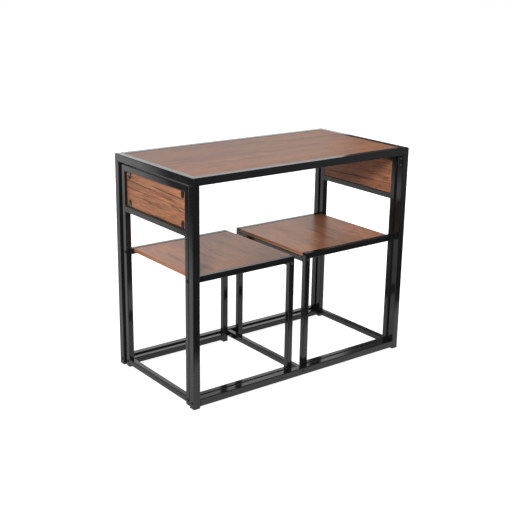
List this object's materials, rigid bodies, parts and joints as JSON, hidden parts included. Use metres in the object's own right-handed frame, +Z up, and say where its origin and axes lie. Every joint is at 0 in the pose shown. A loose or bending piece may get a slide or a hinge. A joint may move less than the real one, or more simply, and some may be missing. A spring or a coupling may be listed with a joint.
{
  "type": "kitchen table with tuck-in chairs",
  "caption": "Narrow kitchen table of black square tube with an inset wood top and slim chairs that slide in from its ends until they are flush with its legs.",
  "frame": {"origin": "on the floor, under the middle of the table", "axes": "+X along the table's length, from chair_a's end to chair_b's; +Y across its width, away from the front; +Z up"},
  "size_m": [0.9078, 0.4728, 0.75],
  "materials": {
    "frame_paint": "satin black powder coat",
    "wood_board": "satin reddish brown wood grain",
    "foot_plastic": "matte black",
    "fastener_black": "black oxide"
  },
  "bodies": {
    "table": {"table_top_frame": "frame_paint", "table_top_board": "wood_board", "table_stretcher": "frame_paint", "table_lower_rail_front": "frame_paint", "table_lower_rail_back": "frame_paint", "table_stretcher_bolt_front": "fastener_black", "table_stretcher_bolt_back": "fastener_black", "table_leg_front_left": "frame_paint", "table_foot_front_left": "foot_plastic", "table_rail_bolt_front_left": "fastener_black", "table_leg_screw_front_left_upper": "fastener_black", "table_leg_screw_front_left_lower": "fastener_black", "table_leg_front_right": "frame_paint", "table_foot_front_right": "foot_plastic", "table_rail_bolt_front_right": "fastener_black", "table_leg_screw_front_right_upper": "fastener_black", "table_leg_screw_front_right_lower": "fastener_black", "table_leg_back_left": "frame_paint", "table_foot_back_left": "foot_plastic", "table_rail_bolt_back_left": "fastener_black", "table_leg_screw_back_left_upper": "fastener_black", "table_leg_screw_back_left_lower": "fastener_black", "table_leg_back_right": "frame_paint", "table_foot_back_right": "foot_plastic", "table_rail_bolt_back_right": "fastener_black", "table_leg_screw_back_right_upper": "fastener_black", "table_leg_screw_back_right_lower": "fastener_black"},
    "chair_a": {"chair_a_back_frame": "frame_paint", "chair_a_backrest_panel": "wood_board", "chair_a_seat_board": "wood_board", "chair_a_seat_front_rail": "frame_paint", "chair_a_side_frame_left": "frame_paint", "chair_a_foot_rear_left": "foot_plastic", "chair_a_foot_front_left": "foot_plastic", "chair_a_seat_bolt_left": "fastener_black", "chair_a_lower_bolt_left": "fastener_black", "chair_a_front_bolt_left": "fastener_black", "chair_a_side_frame_right": "frame_paint", "chair_a_foot_rear_right": "foot_plastic", "chair_a_foot_front_right": "foot_plastic", "chair_a_seat_bolt_right": "fastener_black", "chair_a_lower_bolt_right": "fastener_black", "chair_a_front_bolt_right": "fastener_black"},
    "chair_b": {"chair_b_back_frame": "frame_paint", "chair_b_backrest_panel": "wood_board", "chair_b_seat_board": "wood_board", "chair_b_seat_front_rail": "frame_paint", "chair_b_side_frame_left": "frame_paint", "chair_b_foot_rear_left": "foot_plastic", "chair_b_foot_front_left": "foot_plastic", "chair_b_seat_bolt_left": "fastener_black", "chair_b_lower_bolt_left": "fastener_black", "chair_b_front_bolt_left": "fastener_black", "chair_b_side_frame_right": "frame_paint", "chair_b_foot_rear_right": "foot_plastic", "chair_b_foot_front_right": "foot_plastic", "chair_b_seat_bolt_right": "fastener_black", "chair_b_lower_bolt_right": "fastener_black", "chair_b_front_bolt_right": "fastener_black"}
  },
  "joints": [
    {"name": "chair_a_slide", "type": "slide", "parent": "table", "child": "chair_a", "axis": [-1, 0, 0], "range_m": [0, 0.45]},
    {"name": "chair_b_slide", "type": "slide", "parent": "table", "child": "chair_b", "axis": [1, 0, 0], "range_m": [0, 0.45]}
  ]
}
